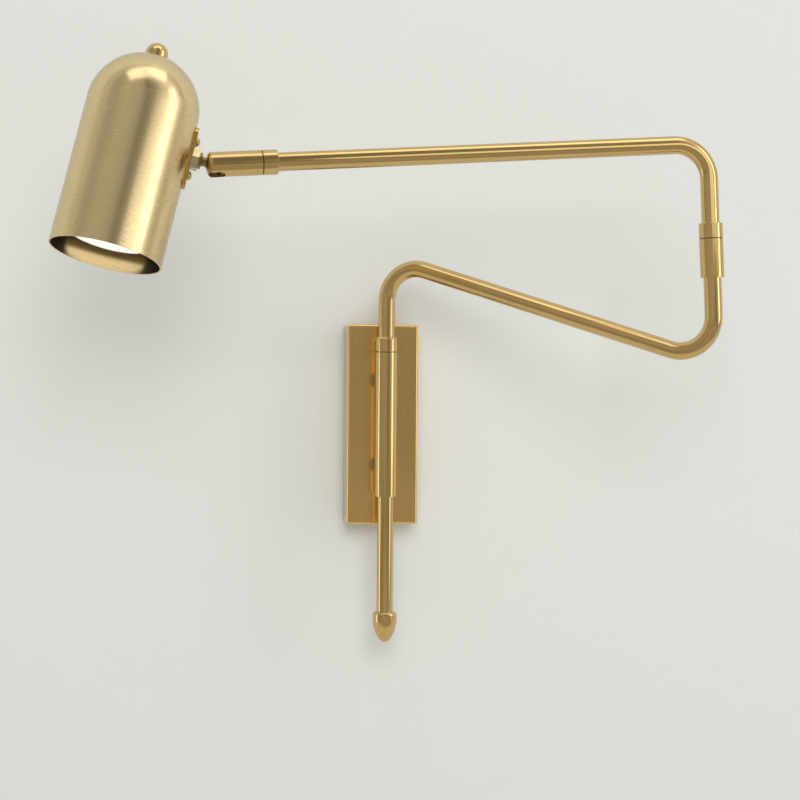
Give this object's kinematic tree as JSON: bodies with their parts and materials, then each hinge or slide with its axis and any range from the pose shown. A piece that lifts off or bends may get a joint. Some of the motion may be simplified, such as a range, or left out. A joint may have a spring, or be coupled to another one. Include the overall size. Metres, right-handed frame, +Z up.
{
  "type": "arm wall sconce",
  "caption": "Wall light with a swing arm: two hinged arms of bent tube turn on a wall plate and carry a domed cylinder shade on a ball joint.",
  "frame": {"origin": "middle of the wall bracket's back face, on the wall", "axes": "+X to the right, +Y into the wall, +Z up; the arms stand out towards -Y"},
  "size_m": [0.4448, 0.2526, 0.4059],
  "materials": {
    "plate_brass": "satin, lacquered",
    "arm_brass": "semi-gloss, lacquered",
    "shade_brass": "brushed, lacquered",
    "steel": "zinc plated",
    "stem_bronze": "dark bronzed",
    "nylon": "matte",
    "ceramic": "glazed",
    "lamp_shell": "matte",
    "lamp_diffuser": "frosted"
  },
  "bodies": {
    "wall_mount": {"wall_bracket": "steel", "backplate": "plate_brass", "plate_screws": "arm_brass", "earth_screw": "arm_brass", "terminal_block": "ceramic", "terminal_screws": "steel", "upper_post": "arm_brass", "lower_post": "arm_brass", "post_nuts": "steel", "wall_sleeve": "arm_brass", "wall_bushes": "nylon", "stop_screw": "steel", "wall_washer": "nylon"},
    "lower_arm": {"lower_arm_tube": "arm_brass", "wall_collar": "arm_brass", "finial": "arm_brass", "elbow_sleeve": "arm_brass", "elbow_stop_screw": "steel", "elbow_washer": "nylon"},
    "upper_arm": {"upper_arm_tube": "arm_brass", "elbow_collar": "arm_brass", "elbow_spigot": "steel", "end_collar": "arm_brass", "end_spigot": "steel", "socket_washer": "nylon"},
    "socket": {"ball_socket": "arm_brass", "seat_ring": "steel", "socket_stop_screw": "steel"},
    "swivel": {"ball_stem": "stem_bronze", "stem_washer": "steel", "stem_locknut": "steel"},
    "shade": {"side_plate": "arm_brass", "hex_bush": "steel", "side_plate_screws": "arm_brass", "side_plate_nuts": "steel", "shade": "shade_brass", "cap_nut": "shade_brass", "hanger_rod": "steel", "rod_nuts": "steel", "holder_bridge": "steel", "holder_screws": "steel", "lampholder": "ceramic", "lamp_body": "lamp_shell", "lamp_lens": "lamp_diffuser", "lamp_pins": "steel"}
  },
  "joints": [
    {"name": "arm_swing", "type": "hinge", "parent": "wall_mount", "child": "lower_arm", "pos_m": [0, -0.043, 0], "axis": [0, 0, 1], "range_deg": [-146.7, 33.3]},
    {"name": "elbow_swing", "type": "hinge", "parent": "lower_arm", "child": "upper_arm", "pos_m": [0.20436, -0.17724, 0.0475], "axis": [-0.0394, 0.0259, 0.9989], "range_deg": [-8.7, 291.3]},
    {"name": "socket_roll", "type": "hinge", "parent": "upper_arm", "child": "socket", "pos_m": [-0.11028, -0.20309, 0.17313], "axis": [-0.993, -0.0954, -0.0692], "range_deg": [-182.3, 137.7]},
    {"name": "shade_tilt", "type": "hinge", "parent": "socket", "child": "swivel", "pos_m": [-0.13203, -0.20518, 0.17161], "axis": [-0.0593, 0.9121, -0.4056], "range_deg": [-109.1, 5]},
    {"name": "shade_spin", "type": "hinge", "parent": "swivel", "child": "shade", "pos_m": [-0.14466, -0.20465, 0.17464], "axis": [-0.9717, 0.0403, 0.2329], "range_deg": [-165, 165]}
  ]
}
